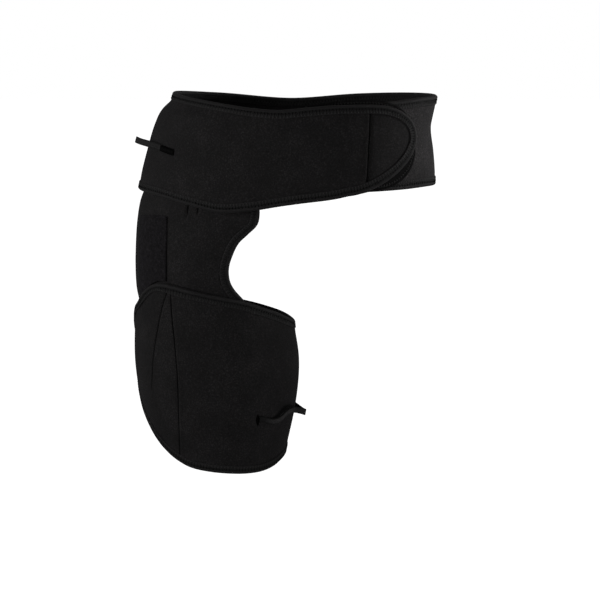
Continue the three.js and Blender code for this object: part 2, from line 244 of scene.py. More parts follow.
def weaveRun(tree):
    uv = tree.nodes.new("ShaderNodeUVMap")
    uv.uv_map = "weave"
    split = tree.nodes.new("ShaderNodeSeparateXYZ")
    tree.links.new(uv.outputs[0], split.inputs[0])
    return split.outputs[0], split.outputs[1]


def grain(tree, size, detail=2.0, roughness=0.5):
    place = tree.nodes.new("ShaderNodeTexCoord")
    node = tree.nodes.new("ShaderNodeTexNoise")
    tree.links.new(place.outputs["Object"], node.inputs["Vector"])
    node.inputs["Scale"].default_value = 1 / (size * mm)
    node.inputs["Detail"].default_value = detail
    node.inputs["Roughness"].default_value = roughness
    return node.outputs["Fac"]


def tones(tree, factor, stops):
    ramp = tree.nodes.new("ShaderNodeValToRGB")
    tree.links.new(factor, ramp.inputs[0])
    while len(ramp.color_ramp.elements) < len(stops):
        ramp.color_ramp.elements.new(0.5)
    for element, (position, colour) in zip(ramp.color_ramp.elements, stops):
        element.position = position
        element.color = (*colour, 1)
    return ramp.outputs[0]


def scaled(tree, colour, factor):
    node = tree.nodes.new("ShaderNodeVectorMath")
    node.operation = "SCALE"
    tree.links.new(colour, node.inputs[0])
    tree.links.new(factor, node.inputs["Scale"])
    return node.outputs[0]


def bump(tree, shader, height, distance, strength):
    node = tree.nodes.new("ShaderNodeBump")
    node.inputs["Strength"].default_value = strength
    node.inputs["Distance"].default_value = distance * mm
    tree.links.new(height, node.inputs["Height"])
    tree.links.new(node.outputs[0], shader.inputs["Normal"])


jersey = {
    "look": {
        "Roughness": 0.78, "Specular IOR Level": 0.14, "Sheen Weight": 0.03, "Sheen Roughness": 0.4,
        "Sheen Tint": (0.8, 0.79, 0.8, 1),
    },
    "stops": [
        (0.35, (0.0036, 0.0033, 0.0034)), (0.52, (0.0088, 0.0081, 0.0084)), (0.68, (0.0255, 0.0233, 0.0242)),
    ],
    "wale": 1.1, "course": 0.9, "slant": 1.1, "loopHeight": 0.5, "gutterHeight": -0.3, "stitchShade": 0.04,
    "fleck": 1.5, "fleckDetail": 3.0, "fleckRoughness": 0.68, "fleckShare": 0.8, "fleckRelief": 1.6,
    "cloud": 26, "cloudShare": 0.2, "relief": 0.12, "strength": 0.7,
    # distances along the belt's weave where its painted light starts and is full, and how much paler it is
    # there: painted light on the end that faces the light from the right
    "paintedLight": (300, 235, 2.5),
}


# Jersey face: small V stitches in upright columns.
def jerseyHeight(tree):
    across, up = weaveRun(tree)
    column = sums(tree, "DIVIDE", across, jersey["wale"])
    lean = sums(tree, "PINGPONG", column, 0.5)
    row = added(tree, sums(tree, "DIVIDE", up, jersey["course"]), lean, jersey["slant"])
    gutters = sums(tree, "COSINE", sums(tree, "MULTIPLY", column, 4 * math.pi))
    loops = sums(tree, "MULTIPLY", wave(tree, row, 1), jersey["loopHeight"])
    return added(tree, loops, gutters, jersey["gutterHeight"])


# Painted light: the fastening end of the belt, which faces the light from the right, is painted paler.
def jerseyNeoprene(name, paintedLight=None):
    material, tree, shader = newMaterial(name, jersey["look"])
    stitches = jerseyHeight(tree)
    flecks = grain(tree, jersey["fleck"], jersey["fleckDetail"], jersey["fleckRoughness"])
    clouds = sums(tree, "MULTIPLY", grain(tree, jersey["cloud"]), jersey["cloudShare"])
    worn = added(tree, clouds, flecks, jersey["fleckShare"])
    colour = tones(tree, added(tree, worn, stitches, jersey["stitchShade"]), jersey["stops"])
    # painted light: paler towards the belt's end that faces the right
    if paintedLight:
        plain, paler, gain = paintedLight
        fade = sums(tree, "DIVIDE", sums(tree, "SUBTRACT", weaveRun(tree)[0], plain), paler - plain)
        litShare = sums(tree, "MINIMUM", sums(tree, "MAXIMUM", fade, 0.0), 1.0)
        colour = scaled(tree, colour, added(tree, 1.0, litShare, gain - 1))
    tree.links.new(colour, shader.inputs["Base Color"])
    relief = added(tree, stitches, flecks, jersey["fleckRelief"])
    bump(tree, shader, relief, jersey["relief"], jersey["strength"])
    return material


# Painted shade: a darker band across a strip, at one distance from its edge; a depth below nothing makes it
# lighter, a band of painted light.
def paintedBand(tree, across, at, half, depth):
    away = sums(tree, "DIVIDE", sums(tree, "SUBTRACT", across, at), half)
    near = sums(tree, "MAXIMUM", sums(tree, "SUBTRACT", 1.0, sums(tree, "MULTIPLY", away, away)), 0.0)
    return sums(tree, "SUBTRACT", 1.0, sums(tree, "MULTIPLY", near, depth))


tapeFinish = {
    "look": {
        "Roughness": 0.62, "Specular IOR Level": 0.17, "Sheen Weight": 0.03, "Sheen Roughness": 0.4,
        "Sheen Tint": (0.8, 0.79, 0.8, 1),
    },
    "stops": [
        (0.3, (0.0037, 0.0035, 0.0036)), (0.52, (0.007, 0.0065, 0.0067)), (0.75, (0.0154, 0.0144, 0.0148)),
    ],
    "rib": 0.9, "pick": 1.1, "relief": 0.14,
    # distance from the fold, half width, depth: a painted highlight along the fold, painted shade in the
    # groove of the sewn zone, and a painted highlight along the inner edge
    "bands": [(0.0, 2.0, -0.6), (4.6, 2.4, 0.65), (8.3, 0.9, -0.7)],
    "shaded": [],
}
webFinish = {
    "look": {"Roughness": 0.62, "Specular IOR Level": 0.16, "Sheen Weight": 0.03, "Sheen Roughness": 0.35},
    "stops": [
        (0.3, (0.0046, 0.0044, 0.0045)), (0.52, (0.0095, 0.0091, 0.0093)), (0.75, (0.022, 0.0212, 0.0216)),
    ],
    "rib": 1.5, "pick": 0.8, "relief": 0.2,
    # distance from the middle, half width, depth: painted shade along both edges, so the middle reads as a
    # painted sheen
    "bands": [(-3.2, 1.4, 0.85), (3.2, 1.4, 0.85)],
    # distance along the thigh's loop, half length, depth: painted shade by its sewn end, painted light on its
    # near part, painted shade on the part that turns away round the thigh
    "shaded": [(42.6, 9, 0.6), (68, 18, -1.7), (126, 42, 0.65)],
}
ribbed = {"fuzz": 0.7, "crossShade": 0.06, "fuzzRelief": 0.8, "strength": 0.7}


def ribbedTape(name, finish):
    material, tree, shader = newMaterial(name, finish["look"])
    along, across = weaveRun(tree)
    crossed = sums(tree, "MULTIPLY", wave(tree, across, finish["rib"]), wave(tree, along, finish["pick"]))
    fuzz = grain(tree, ribbed["fuzz"])
    colour = tones(tree, added(tree, fuzz, crossed, ribbed["crossShade"]), finish["stops"])
    # painted light and shade in bands across the strip and along it
    for at, half, depth in finish["bands"]:
        colour = scaled(tree, colour, paintedBand(tree, across, at, half, depth))
    for at, half, depth in finish["shaded"]:
        colour = scaled(tree, colour, paintedBand(tree, along, at, half, depth))
    tree.links.new(colour, shader.inputs["Base Color"])
    relief = added(tree, crossed, fuzz, ribbed["fuzzRelief"])
    bump(tree, shader, relief, finish["relief"], ribbed["strength"])
    return material


loopFinish = {
    "look": {
        "Roughness": 0.95, "Specular IOR Level": 0.08, "Sheen Weight": 0.06, "Sheen Roughness": 0.5,
        "Sheen Tint": (0.8, 0.74, 0.82, 1),
    },
    "stops": [
        (0.36, (0.0026, 0.0024, 0.0027)), (0.5, (0.0076, 0.007, 0.0078)), (0.66, (0.025, 0.023, 0.0255)),
    ],
    "pile": 0.9, "pileDetail": 4.0, "pileRoughness": 0.75, "pileShare": 0.7, "tuft": 3.2, "tuftShare": 0.3,
    "relief": 0.5, "strength": 0.9,
}


def brushedLoop():
    material, tree, shader = newMaterial("brushedLoop", loopFinish["look"])
    pile = grain(tree, loopFinish["pile"], loopFinish["pileDetail"], loopFinish["pileRoughness"])
    tufts = sums(tree, "MULTIPLY", grain(tree, loopFinish["tuft"]), loopFinish["tuftShare"])
    shade = added(tree, tufts, pile, loopFinish["pileShare"])
    tree.links.new(tones(tree, shade, loopFinish["stops"]), shader.inputs["Base Color"])
    bump(tree, shader, shade, loopFinish["relief"], loopFinish["strength"])
    return material


hookFinish = {
    "look": {"Roughness": 0.8, "Specular IOR Level": 0.08},
    "stops": [
        (0.3, (0.002, 0.0019, 0.002)), (0.55, (0.0042, 0.004, 0.0041)), (0.75, (0.009, 0.0087, 0.0088)),
    ],
    "row": 1.4, "post": 1.6, "fuzz": 0.8, "hookShade": 0.08, "relief": 0.3, "strength": 0.8,
}


def mouldedHooks():
    material, tree, shader = newMaterial("mouldedHooks", hookFinish["look"])
    across, up = weaveRun(tree)
    hooks = sums(tree, "MULTIPLY", wave(tree, across, hookFinish["row"]), wave(tree, up, hookFinish["post"]))
    shade = added(tree, grain(tree, hookFinish["fuzz"]), hooks, hookFinish["hookShade"])
    tree.links.new(tones(tree, shade, hookFinish["stops"]), shader.inputs["Base Color"])
    bump(tree, shader, hooks, hookFinish["relief"], hookFinish["strength"])
    return material


fibre = {"roughness": 0.5, "grain": 0.5, "darkAt": 0.3, "lightAt": 0.7}


def sewingThread(name, light, dark, shine):
    material, tree, shader = newMaterial(name, {"Roughness": fibre["roughness"], "Specular IOR Level": shine})
    colour = tones(tree, grain(tree, fibre["grain"]), [(fibre["darkAt"], dark), (fibre["lightAt"], light)])
    tree.links.new(colour, shader.inputs["Base Color"])
    return material


looks = {
    "neoprene": jerseyNeoprene("jerseyNeoprene"),
    # the belt's cloth carries painted light on its end towards the right
    "beltNeoprene": jerseyNeoprene("beltNeoprene", jersey["paintedLight"]),
    "tape": ribbedTape("foldedTape", tapeFinish),
    "web": ribbedTape("wovenWeb", webFinish),
    "loop": brushedLoop(),
    "hook": mouldedHooks(),
    "thread": sewingThread("blackThread", (0.019, 0.0185, 0.0187), (0.01, 0.0097, 0.0098), 0.2),
    "knot": sewingThread("lockedThread", (0.034, 0.0326, 0.0332), (0.02, 0.0192, 0.0196), 0.2),
    # near-black thread used as painted shade: in the needle holes, down the seams, over the pull loops' sewn
    # ends and in the pucker
    "pit": sewingThread("paintedShadeThread", (0.0012, 0.0012, 0.0012), (0.0008, 0.0008, 0.0008), 0.02),
}
print("materials made:", ", ".join(looks))

# Folded tape
tape = {
    "width": 8.5, "thickness": 0.7, "seat": 0.5, "around": 26, "spacing": 2.0, "easing": 5,
    "legEnd": 0.42, "foldEnd": 0.72, "foldStart": 1.3,  # shares of the way round, then distance from the edge
    "puff": 0.3, "puffStart": 0.6, "puffWidth": 3.4,
    "sewnFrom": (3, 4.2), "sewnDip": 0.15, "ripple": 0.08, "pitch": 3.5,
    "line": 0.22, "lineAt": 3.2, "lineWidth": 0.8, "endCurl": 0.22, "curlWidth": 0.9,
}


# Walks an edge in even steps, with the direction into the cloth at each.
def walkEdge(form, turn, height, lift):
    points = layOn(form, turn, height, lift) / mm
    length = np.concatenate([[0], np.cumsum(np.linalg.norm(np.diff(points, axis=0), axis=1))])
    run = np.linspace(0, length[-1], int(length[-1] / tape["spacing"]) + 1)
    turn, height, lift = (np.interp(run, length, values) for values in (turn, height, lift))
    along, up = (np.linalg.norm(step, axis=1) for step in surfaceRun(form, turn, height))
    sideways, upwards = np.gradient(turn) * along, np.gradient(height) * up
    easing = tape["easing"]
    window = np.hanning(2 * easing + 3)[1:-1]
    padded = [np.pad(values, easing, mode="edge") for values in (sideways, upwards)]
    sideways, upwards = (np.convolve(values, window, "valid") for values in padded)
    size = np.hypot(sideways, upwards)
    return {
        "form": form, "run": run, "turn": turn, "height": height, "lift": lift,
        "inTurn": -upwards / size / along, "inHeight": sideways / size / up, "width": 0 * run + tape["width"],
    }


def besideEdge(edge, run, inward):
    kept = ("turn", "height", "lift", "inTurn", "inHeight")
    turn, height, lift, inTurn, inHeight = (np.interp(run, edge["run"], edge[key]) for key in kept)
    return turn + inTurn * inward, height + inHeight * inward, lift


# A tape folded over an edge: one leg on the face, round the fold, one leg behind.
def foldTape(name, edge, thickness):
    tip = tape["seat"] + tape["thickness"] / 2
    middle = thickness / 2 + tip
    total = edge["run"][-1]

    def place(u, v):
        run = u * total
        width = np.interp(run, edge["run"], edge["width"])
        face = np.clip(v / tape["legEnd"], 0, 1)
        behind = np.clip((v - tape["foldEnd"]) / (1 - tape["foldEnd"]), 0, 1)
        bent = np.clip((v - tape["legEnd"]) / (tape["foldEnd"] - tape["legEnd"]), 0, 1) * math.pi
        legs = np.where(v < 0.5, mix(width, tape["foldStart"], face), mix(tape["foldStart"], width, behind))
        onFold = (v > tape["legEnd"]) & (v < tape["foldEnd"])
        inward = np.where(onFold, tape["foldStart"] - (tape["foldStart"] + tip) * np.sin(bent), legs)
        rise = middle * np.cos(bent)
        puffRun = np.clip((inward + tape["puffStart"]) / tape["puffWidth"], 0, 1)
        puffed = tape["puff"] * np.sin(math.pi * puffRun)
        sewn = blendOver(inward, *tape["sewnFrom"])
        line = tape["line"] * bell(inward - tape["lineAt"], tape["lineWidth"])
        rippled = tape["ripple"] * np.cos(2 * math.pi * run / tape["pitch"])
        curl = tape["endCurl"] * blendOver(inward, width - tape["curlWidth"], width)
        dip = sewn * (tape["sewnDip"] + rippled) + curl + line
        rise = rise + np.sign(rise) * np.abs(np.cos(bent)) * (puffed * (1 - sewn) - dip)
        turn, height, lift = besideEdge(edge, run, inward)
        return turn, height, lift + rise, np.stack([run, tape["width"] * inward / width], axis=1)

    return layCloth(name, edge["form"], (len(edge["run"]) - 1, tape["around"]), place, tape["thickness"])


# Threads
threadDot = bmesh.new()
bmesh.ops.create_uvsphere(threadDot, u_segments=6, v_segments=5, radius=1)
threadMesh = bpy.data.meshes.new("threadDot")
threadDot.to_mesh(threadMesh)
threadDot.free()


# One piece of thread between two points, lying on the cloth.
def addThread(bm, start, end, outward, radius, flatness=0.8, reach=1.06):
    run = Vector(end) - Vector(start)
    lengthwise = run.normalized()
    side = lengthwise.cross(Vector(outward)).normalized()
    up = side.cross(lengthwise)
    columns = (side * radius * mm, up * radius * flatness * mm, lengthwise * (run.length / 2 * reach))
    middle = (Vector(start) + Vector(end)) / 2
    rows = [[*(column[axis] for column in columns), middle[axis]] for axis in range(3)]
    stitch = threadMesh.copy()
    stitch.transform(Matrix([*rows, (0, 0, 0, 1)]))
    bm.from_mesh(stitch)
    bpy.data.meshes.remove(stitch)


zigzag = {
    "near": 3.0, "short": 1.0, "radius": 0.38, "rise": 2.5,
    "pitBefore": 0.5, "pitReach": 2.5, "pitStop": 1, "pitRise": 0.2, "pitFlatness": 0.5,
    "knot": 0.5, "knotReach": 0.4, "knotRise": 0.12, "knotFlatness": 0.6,
}


# A zigzag along an edge, on its face or behind it: near-black pits by the fold, painted shade in the needle
# holes, and light locks at the inner turns.
def zigzagThreads(sewn, edge, rise, near, short, pit, face=1):
    count = int(edge["run"][-1] / tape["pitch"])
    step = np.arange(2 * count)
    run = (step + 0.5) * tape["pitch"] / 2
    far = np.interp(run, edge["run"], edge["width"]) - short

    def along(inward, lift):
        turn, height, middle = besideEdge(edge, run, inward)
        outward = outwardAt(edge["form"], turn, height) * face
        return layOn(edge["form"], turn, height, middle + face * lift), outward

    points, outward = along(np.where(step % 2 == 0, near, far), rise)
    for k in range(2 * count - 1):
        addThread(sewn["thread"], points[k], points[k + 1], outward[k], zigzag["radius"])
    if face < 0:
        return
    pitFar = np.minimum(near + zigzag["pitReach"], far - zigzag["pitStop"])
    pitStart = along(0 * run + near - zigzag["pitBefore"], rise + zigzag["pitRise"])[0]
    pitEnd = along(pitFar, rise + zigzag["pitRise"])[0]
    lockStart = along(far - zigzag["knotReach"], rise + zigzag["knotRise"])[0]
    lockEnd = along(far + zigzag["knotReach"], rise + zigzag["knotRise"])[0]
    knot, flatness = zigzag["knot"], zigzag["knotFlatness"]
    # painted shade in the needle holes by the fold
    for k in step[::2]:
        addThread(sewn["pit"], pitStart[k], pitEnd[k], outward[k], pit, zigzag["pitFlatness"])
        addThread(sewn["knot"], lockStart[k + 1], lockEnd[k + 1], outward[k + 1], knot, flatness)


# Neoprene: slow waves where it lies free of the tapes, a ripple beside them, a roll along each seam
cloth = {
    "thickness": 3, "seamGap": 0.5, "held": -1, "free": 6,  # the last two are distances past the tape
    "ripple": 0.14, "ripplePitch": 7.3, "rippleAt": 2.5, "rippleWidth": 4, "rippleDrift": 31,
    "roll": 0.6, "rollAt": 2.4, "dip": 0.9, "dipWidth": 0.9,
}


def clothWaves(form, turn, height, size, depth, seed):
    points = layOn(form, turn, height, 0 * turn) / (size * mm)
    return depth * np.array([noise.noise(Vector(point) + Vector((seed, 0, 0))) for point in points])


def clothRise(form, turn, height, fromEdge, along, piece):
    free = blendOver(fromEdge, tape["width"] + cloth["held"], tape["width"] + cloth["free"])
    waves = clothWaves(form, turn, height, piece["waveSize"], piece["waves"], piece["waveSeed"])
    beside = bell(fromEdge - tape["width"] - cloth["rippleAt"], cloth["rippleWidth"])
    phase = 2 * math.pi * along / cloth["ripplePitch"] + np.sin(along / cloth["rippleDrift"])
    return free * waves + cloth["ripple"] * beside * np.sin(phase)


def seamRoll(fromSeam, width):
    roll = cloth["roll"] * bell(fromSeam - cloth["rollAt"], width)
    return roll - cloth["dip"] * bell(fromSeam, cloth["dipWidth"])


# Waist belt, from its hidden end once round to the seam of the tongue
belt = {
    # turn, top, bottom
    "rows": [
        (10, 55, -32), (40, 57, -32), (57, 59.5, -31.8), (70, 61.6, -32), (90, 61, -35.5), (135, 55.5, -41),
        (180, 48, -44.5), (225, 55, -43.5), (270, 61.5, -41.8), (296, 60.8, -41), (311, 58.4, -46.8),
        (325, 55.2, -52.4), (339, 52, -50), (355, 50, -44.6), (367, 51.8, -41.4), (384, 54.4, -37.2),
        (392, 55, -33.6), (402, 55.3, -29.8),
    ],
    "start": 10, "climb": (130, 200), "flap": (330, 358), "cells": (520, 46), "crowding": 1.3, "settles": 4,
    # the tip and its height, then for each edge the turn where it starts to round, its height and squareness
    "end": {"tip": 422.2, "middle": 21.5, "above": (402, 55.3, 2.4), "below": (390, -34.5, 1.6)},
    # height, turn
    "seamRows": [(-34, 397.6), (-18, 398.2), (16, 399.8), (57, 402.8)],
    "degree": 2.35, "waves": 0.45, "waveSize": 46, "waveSeed": 3.1, "rollWidth": 1.4,
    "flat": (0.118, 1.03), "area": 0.1005, "tapeFlat": (0.02, 2.17),
}
edgePoints = {"plain": 400, "round": 40}
readBelt = tableReader(belt["rows"])
readSeam = tableReader(belt["seamRows"])


# Edges of a piece with a rounded end: along its table, then round to the tip.
def endSpan(read, end, turn):
    edges = []
    for plain, side in zip(read(turn), ("above", "below")):
        start, height, squareness = end[side]
        share = np.clip((turn - start) / (end["tip"] - start), 0, 1)
        rounded = mix(end["middle"], height, (1 - share ** squareness) ** (1 / squareness))
        edges.append(np.where(turn < start, plain, rounded))
    return edges


def endLine(read, end, start):
    low, high = (np.linspace(start, end[side][0], edgePoints["plain"])[:-1] for side in ("below", "above"))
    angle = np.linspace(0, math.pi / 2, edgePoints["round"])
    turns, heights = [low], [read(low)[1]]
    for side, order in (("below", 1), ("above", -1)):
        first, height, squareness = end[side]
        power = 2 / squareness
        turns.append(mix(first, end["tip"], np.sin(angle) ** power)[::order])
        heights.append(mix(end["middle"], height, np.cos(angle) ** power)[::order])
    return np.concatenate([*turns, high[::-1]]), np.concatenate([*heights, read(high)[0][::-1]])


def beltLift(turn):
    lift = mix(layers["inner"], layers["outer"], blendOver(turn, *belt["climb"]))
    return mix(lift, layers["flap"], blendOver(turn, *belt["flap"]))


def beltPlace(u, v):
    u = 1 - (1 - u) ** belt["crowding"]
    turn = mix(belt["start"], readSeam(0)[0], u)
    for settle in range(belt["settles"]):
        top, bottom = endSpan(readBelt, belt["end"], turn)
        height = mix(bottom, top, v)
        turn = mix(belt["start"], readSeam(height)[0] - cloth["seamGap"] / 2 / belt["degree"], u)
    along = turn * belt["degree"]
    fromSeam = readSeam(height)[0] * belt["degree"] - along
    fromEdge = np.minimum(height - bottom, top - height)
    lift = beltLift(turn) + clothRise(waistForm, turn, height, fromEdge, along, belt)
    lift = lift + seamRoll(fromSeam, belt["rollWidth"])
    return turn, height, lift, np.stack([along, height], axis=1)


# Tongue, past the seam
tongue = {
    "cells": (34, 46), "stop": 0.992, "dip": 1.35, "dipWidth": 1.9, "sink": 0.2, "sinkRun": 9,
    "waves": 0.25, "waveSize": 22, "waveSeed": 5.2, "free": (1, 8), "flat": (0.085, 0.055), "area": 0.0042,
}


def tonguePlace(u, v):
    spread = np.sin(u * math.pi / 2) * tongue["stop"]
    turn = mix(readSeam(0)[0], belt["end"]["tip"], spread)
    for settle in range(belt["settles"]):
        top, bottom = endSpan(readBelt, belt["end"], turn)
        height = mix(bottom, top, v)
        seam = readSeam(height)[0] + cloth["seamGap"] / 2 / belt["degree"]
        turn = mix(seam, belt["end"]["tip"], spread)
    along = turn * belt["degree"]
    fromSeam = along - readSeam(height)[0] * belt["degree"]
    waves = clothWaves(waistForm, turn, height, tongue["waveSize"], tongue["waves"], tongue["waveSeed"])
    lift = beltLift(turn) + waves * blendOver(fromSeam, *tongue["free"])
    lift = lift - tongue["dip"] * bell(fromSeam, tongue["dipWidth"])
    lift = lift - tongue["sink"] * np.exp(-fromSeam / tongue["sinkRun"])
    return turn, height, lift, np.stack([along, height], axis=1)


beltCloth = layCloth("beltCloth", waistForm, belt["cells"], beltPlace, cloth["thickness"])
finishPiece(beltCloth, looks["beltNeoprene"], "waist_belt")
tongueCloth = layCloth("tongueCloth", waistForm, tongue["cells"], tonguePlace, cloth["thickness"])
finishPiece(tongueCloth, looks["neoprene"], "belt_tongue")
beltTurn, beltHeight = endLine(readBelt, belt["end"], belt["start"])
beltEdge = walkEdge(waistForm, beltTurn, beltHeight, beltLift(beltTurn))
beltTape = foldTape("beltTape", beltEdge, cloth["thickness"])
finishPiece(beltTape, looks["tape"], "belt_binding")
print("belt, tongue and belt tape laid")

# Hook tab behind the tongue
tab = {
    # turn, top, bottom
    "rows": [(2, 44, -36), (7, 52, -36.5), (18, 57.7, -37), (32, 61.8, -35.6), (42, 62.1, -31.3)],
    "end": {"tip": 63.2, "middle": 18, "above": (42, 62.1, 2.35), "below": (42, -31.3, 2.15)},
    "start": 2, "thickness": 1.4, "cells": (70, 44), "stop": 0.992,
    "bead": 0.35, "beadAt": 1.6, "beadWidth": 1.1,
    "sewnRise": 0.1, "sewnNear": 1.6, "sewnFar": 4.2, "pit": 0.58,
    "flat": (0.1, 0.15), "area": 0.0126,
}
readTab = tableReader(tab["rows"])


def tabPlace(u, v):
    turn = mix(tab["start"], tab["end"]["tip"], np.sin(u * math.pi / 2) * tab["stop"])
    top, bottom = endSpan(readTab, tab["end"], turn)
    height = mix(bottom, top, v)
    fromTip = (tab["end"]["tip"] - turn) * belt["degree"]
    fromEdge = np.minimum(np.minimum(top - height, height - bottom), fromTip)
    lift = layers["tab"] + tab["bead"] * bell(fromEdge - tab["beadAt"], tab["beadWidth"])
    return turn, height, lift, np.stack([turn * belt["degree"], height], axis=1)


hookTab = layCloth("hookTab", waistForm, tab["cells"], tabPlace, tab["thickness"])
finishPiece(hookTab, looks["hook"], "belt_hook_tab")
print("hook tab laid")

# Hip panel, from its back edge round to the groin
hip = {
    # height, turn of the groin edge, turn of the back edge
    "edgeRows": [
        (-30, 23.9, -188), (-58, 25.2, -184), (-67, 24.5, -181), (-77, 20.8, -178), (-86, 16.9, -175),
        (-100, 13.5, -171), (-112, 11.6, -168), (-122, 11.4, -167), (-132, 12.7, -166.5), (-140, 15.4, -167),
        (-152, 21.6, -168), (-168, 28, -170), (-200, 30, -173), (-290, 30, -174),
    ],
    # share of the way round, top, bottom
    "hemRows": [
        (0, -28, -278), (0.3, -26, -284), (0.5, -25, -272), (0.7, -27, -222), (0.86, -34, -198),
        (1, -32, -192),
    ],
    "cells": (300, 104), "rimPoints": 200, "degree": 1.5, "waves": 0.5, "waveSize": 40, "waveSeed": 7.7,
    # turn and height of each end of a pleat, depth, width
    "pleats": [
        (-12.8, -47, -13.9, -63, 3.4, 1.2), (-5.9, -50, -6.6, -61, 2.6, 1.2),
        (-4.4, -52, -8.3, -66, -1.0, 1.8), (-14.9, -47, -15.9, -64, -0.6, 2.0),
    ],
    "pleatStart": (-8, -2), "pleatFade": 0.3, "pleatPast": 3,
    "flat": (0.26, 0.42), "area": 0.0745, "tapeFlat": (0.02, 0.83),
}
readGroin = tableReader(hip["edgeRows"])
readHem = tableReader(hip["hemRows"])


# Depth of a fold that starts at one spot and runs out at another.
def pleatAt(turn, height, pleat):
    startTurn, startHeight, endTurn, endHeight, depth, width = pleat
    runX, runY = (endTurn - startTurn) * hip["degree"], endHeight - startHeight
    x, y = (turn - startTurn) * hip["degree"], height - startHeight
    size = math.hypot(runX, runY)
    along = (x * runX + y * runY) / size
    beside = (x * runY - y * runX) / size
    fadeOut = blendOver(along, size + hip["pleatPast"], size * hip["pleatFade"])
    return depth * fadeOut * blendOver(along, *hip["pleatStart"]) * bell(beside, width)


def hipPlace(u, v):
    top, bottom = readHem(u)
    height = mix(bottom, top, v)
    groin, back = readGroin(height)
    turn = mix(back, groin, u)
    fromEdge = np.minimum(np.minimum(turn - back, groin - turn) * hip["degree"], height - bottom)
    lift = layers["inner"] + clothRise(thighForm, turn, height, fromEdge, height, hip)
    for pleat in hip["pleats"]:
        lift = lift - pleatAt(turn, height, pleat)
    return turn, height, lift, np.stack([turn * hip["degree"], height], axis=1)


def hipEdgeLine():
    rim = np.linspace(0, 1, hip["rimPoints"])
    backTop, backFoot = readHem(0)[:, 0]
    groinTop, groinFoot = readHem(1)[:, 0]
    down, up = mix(backTop, backFoot, rim), mix(groinFoot, groinTop, rim)
    height = np.concatenate([down[:-1], readHem(rim)[1], up[1:]])
    share = np.concatenate([0 * down[:-1], rim, 0 * up[1:] + 1])
    groin, back = readGroin(height)
    return walkEdge(thighForm, mix(back, groin, share), height, layers["inner"] + 0 * height)


hipCloth = layCloth("hipCloth", thighForm, hip["cells"], hipPlace, cloth["thickness"])
finishPiece(hipCloth, looks["neoprene"], "hip_panel")
hipEdge = hipEdgeLine()
hipTape = foldTape("hipTape", hipEdge, cloth["thickness"])
finishPiece(hipTape, looks["tape"], "hip_binding")
print("hip panel and its tape laid")

# Fastener patch on the side of the hip
patch = {
    # turn, top, bottom
    "rows": [
        (-60, -66, -154.6), (-52, -64.6, -147), (-44, -62.8, -139), (-36, -62, -132.8),
        (-29.2, -62.2, -131.2),
    ],
    "back": -60, "front": -29.2, "cells": (46, 80), "thickness": 1.2,
    "waves": 0.18, "waveSize": 2.3, "waveSeed": 1.3, "sewn": 0.35, "inset": 2.4, "sewnWidth": 0.7,
    "flat": (0.05, 0.095), "area": 0.0037,
}
readPatch = tableReader(patch["rows"])


def patchPlace(u, v):
    turn = mix(patch["back"], patch["front"], u)
    top, bottom = readPatch(turn)
    height = mix(bottom, top, v)
    fromSide = np.minimum(turn - patch["back"], patch["front"] - turn) * hip["degree"]
    fromEdge = np.minimum(fromSide, np.minimum(height - bottom, top - height))
    pile = clothWaves(thighForm, turn, height, patch["waveSize"], patch["waves"], patch["waveSeed"])
    lift = layers["patch"] + pile - patch["sewn"] * bell(fromEdge - patch["inset"], patch["sewnWidth"])
    return turn, height, lift, np.stack([turn * hip["degree"], height], axis=1)


loopPatch = layCloth("loopPatch", thighForm, patch["cells"], patchPlace, patch["thickness"])
finishPiece(loopPatch, looks["loop"], "hip_loop_patch")
print("loop patch laid")

# Thigh wrap: side panel from its rounded end to the long seam, front panel from there round to the back
wrap = {
    # turn, top, bottom
    "rows": [
        (-108, -215, -236), (-105, -206, -246.5), (-99, -196.5, -257), (-91, -188, -266.5),
        (-83, -179.5, -277), (-70, -166.4, -294), (-60, -159, -307.6), (-52, -150.8, -316.2),
        (-46, -144.3, -321.6), (-38, -137, -328.2), (-31, -134.6, -332.8), (-24, -135.1, -336.5),
        (-8, -140.3, -340.5), (9, -147, -343), (21, -152.6, -344.3), (34, -161.5, -344.6),
        (50, -171.5, -342.5), (61, -178.5, -339.5), (90, -191, -336), (135, -189, -333),
        (180, -178, -331), (212, -172, -330),
    ],
    "tip": -108, "end": 212, "middle": -235, "settles": 10,
    # height, turn
    "seamRows": [
        (-345, -33.9), (-318, -30.3), (-294, -27.7), (-250, -25.4), (-206, -24.7), (-170, -24.6),
        (-134, -23.6),
    ],
    # height, turn, sink
    "dartRows": [
        (-345, -54, 0), (-262, -50, 0), (-233, -46.2, 0.7), (-200, -40.8, 1.3), (-176, -35.4, 1.5),
        (-158, -31, 1.5), (-149, -28.6, 1.4), (-143, -26.9, 1.2), (-134, -24.8, 0.5),
    ],
    "dartWidth": 1.0, "dartRoll": 0.3, "dartRollAt": 2.4, "dartRollWidth": 1.5,
    "sideCells": (110, 150), "frontCells": (190, 100), "crowding": 1.3, "degree": 1.42,
    "waves": 0.5, "waveSize": 42, "waveSeed": 9.4, "rollWidth": 1.6, "sideDip": 1.1, "sideDipRun": 1.4,
    # the tape is narrower on the arc over the side panel, between these turns and above this height
    "arcStart": (-100, -75), "arcEnd": (-20, -34), "arcLow": -210, "arcNarrow": 2.2,
    "sideFlat": (0.19, 0.13), "sideArea": 0.0172, "frontFlat": (0.2, 0.35), "frontArea": 0.061,
    "tapeFlat": (0.02, 1.15),
}
# where the pull loop is let into the front panel
anchor = {"turn": 29.3, "height": -284, "half": 7, "squareness": 4, "depth": 1.6, "width": 2.4}
readWrap = tableReader(wrap["rows"])
readLongSeam = tableReader(wrap["seamRows"])
readDart = tableReader(wrap["dartRows"])


def wrapSpot(u, v, ends):
    turn = mix(*ends(0 * u + wrap["middle"]), u)
    for settle in range(wrap["settles"]):
        top, bottom = readWrap(turn)
        height = mix(bottom, top, v)
        turn = mix(*ends(height), u)
    return turn, height, np.minimum(height - bottom, top - height)


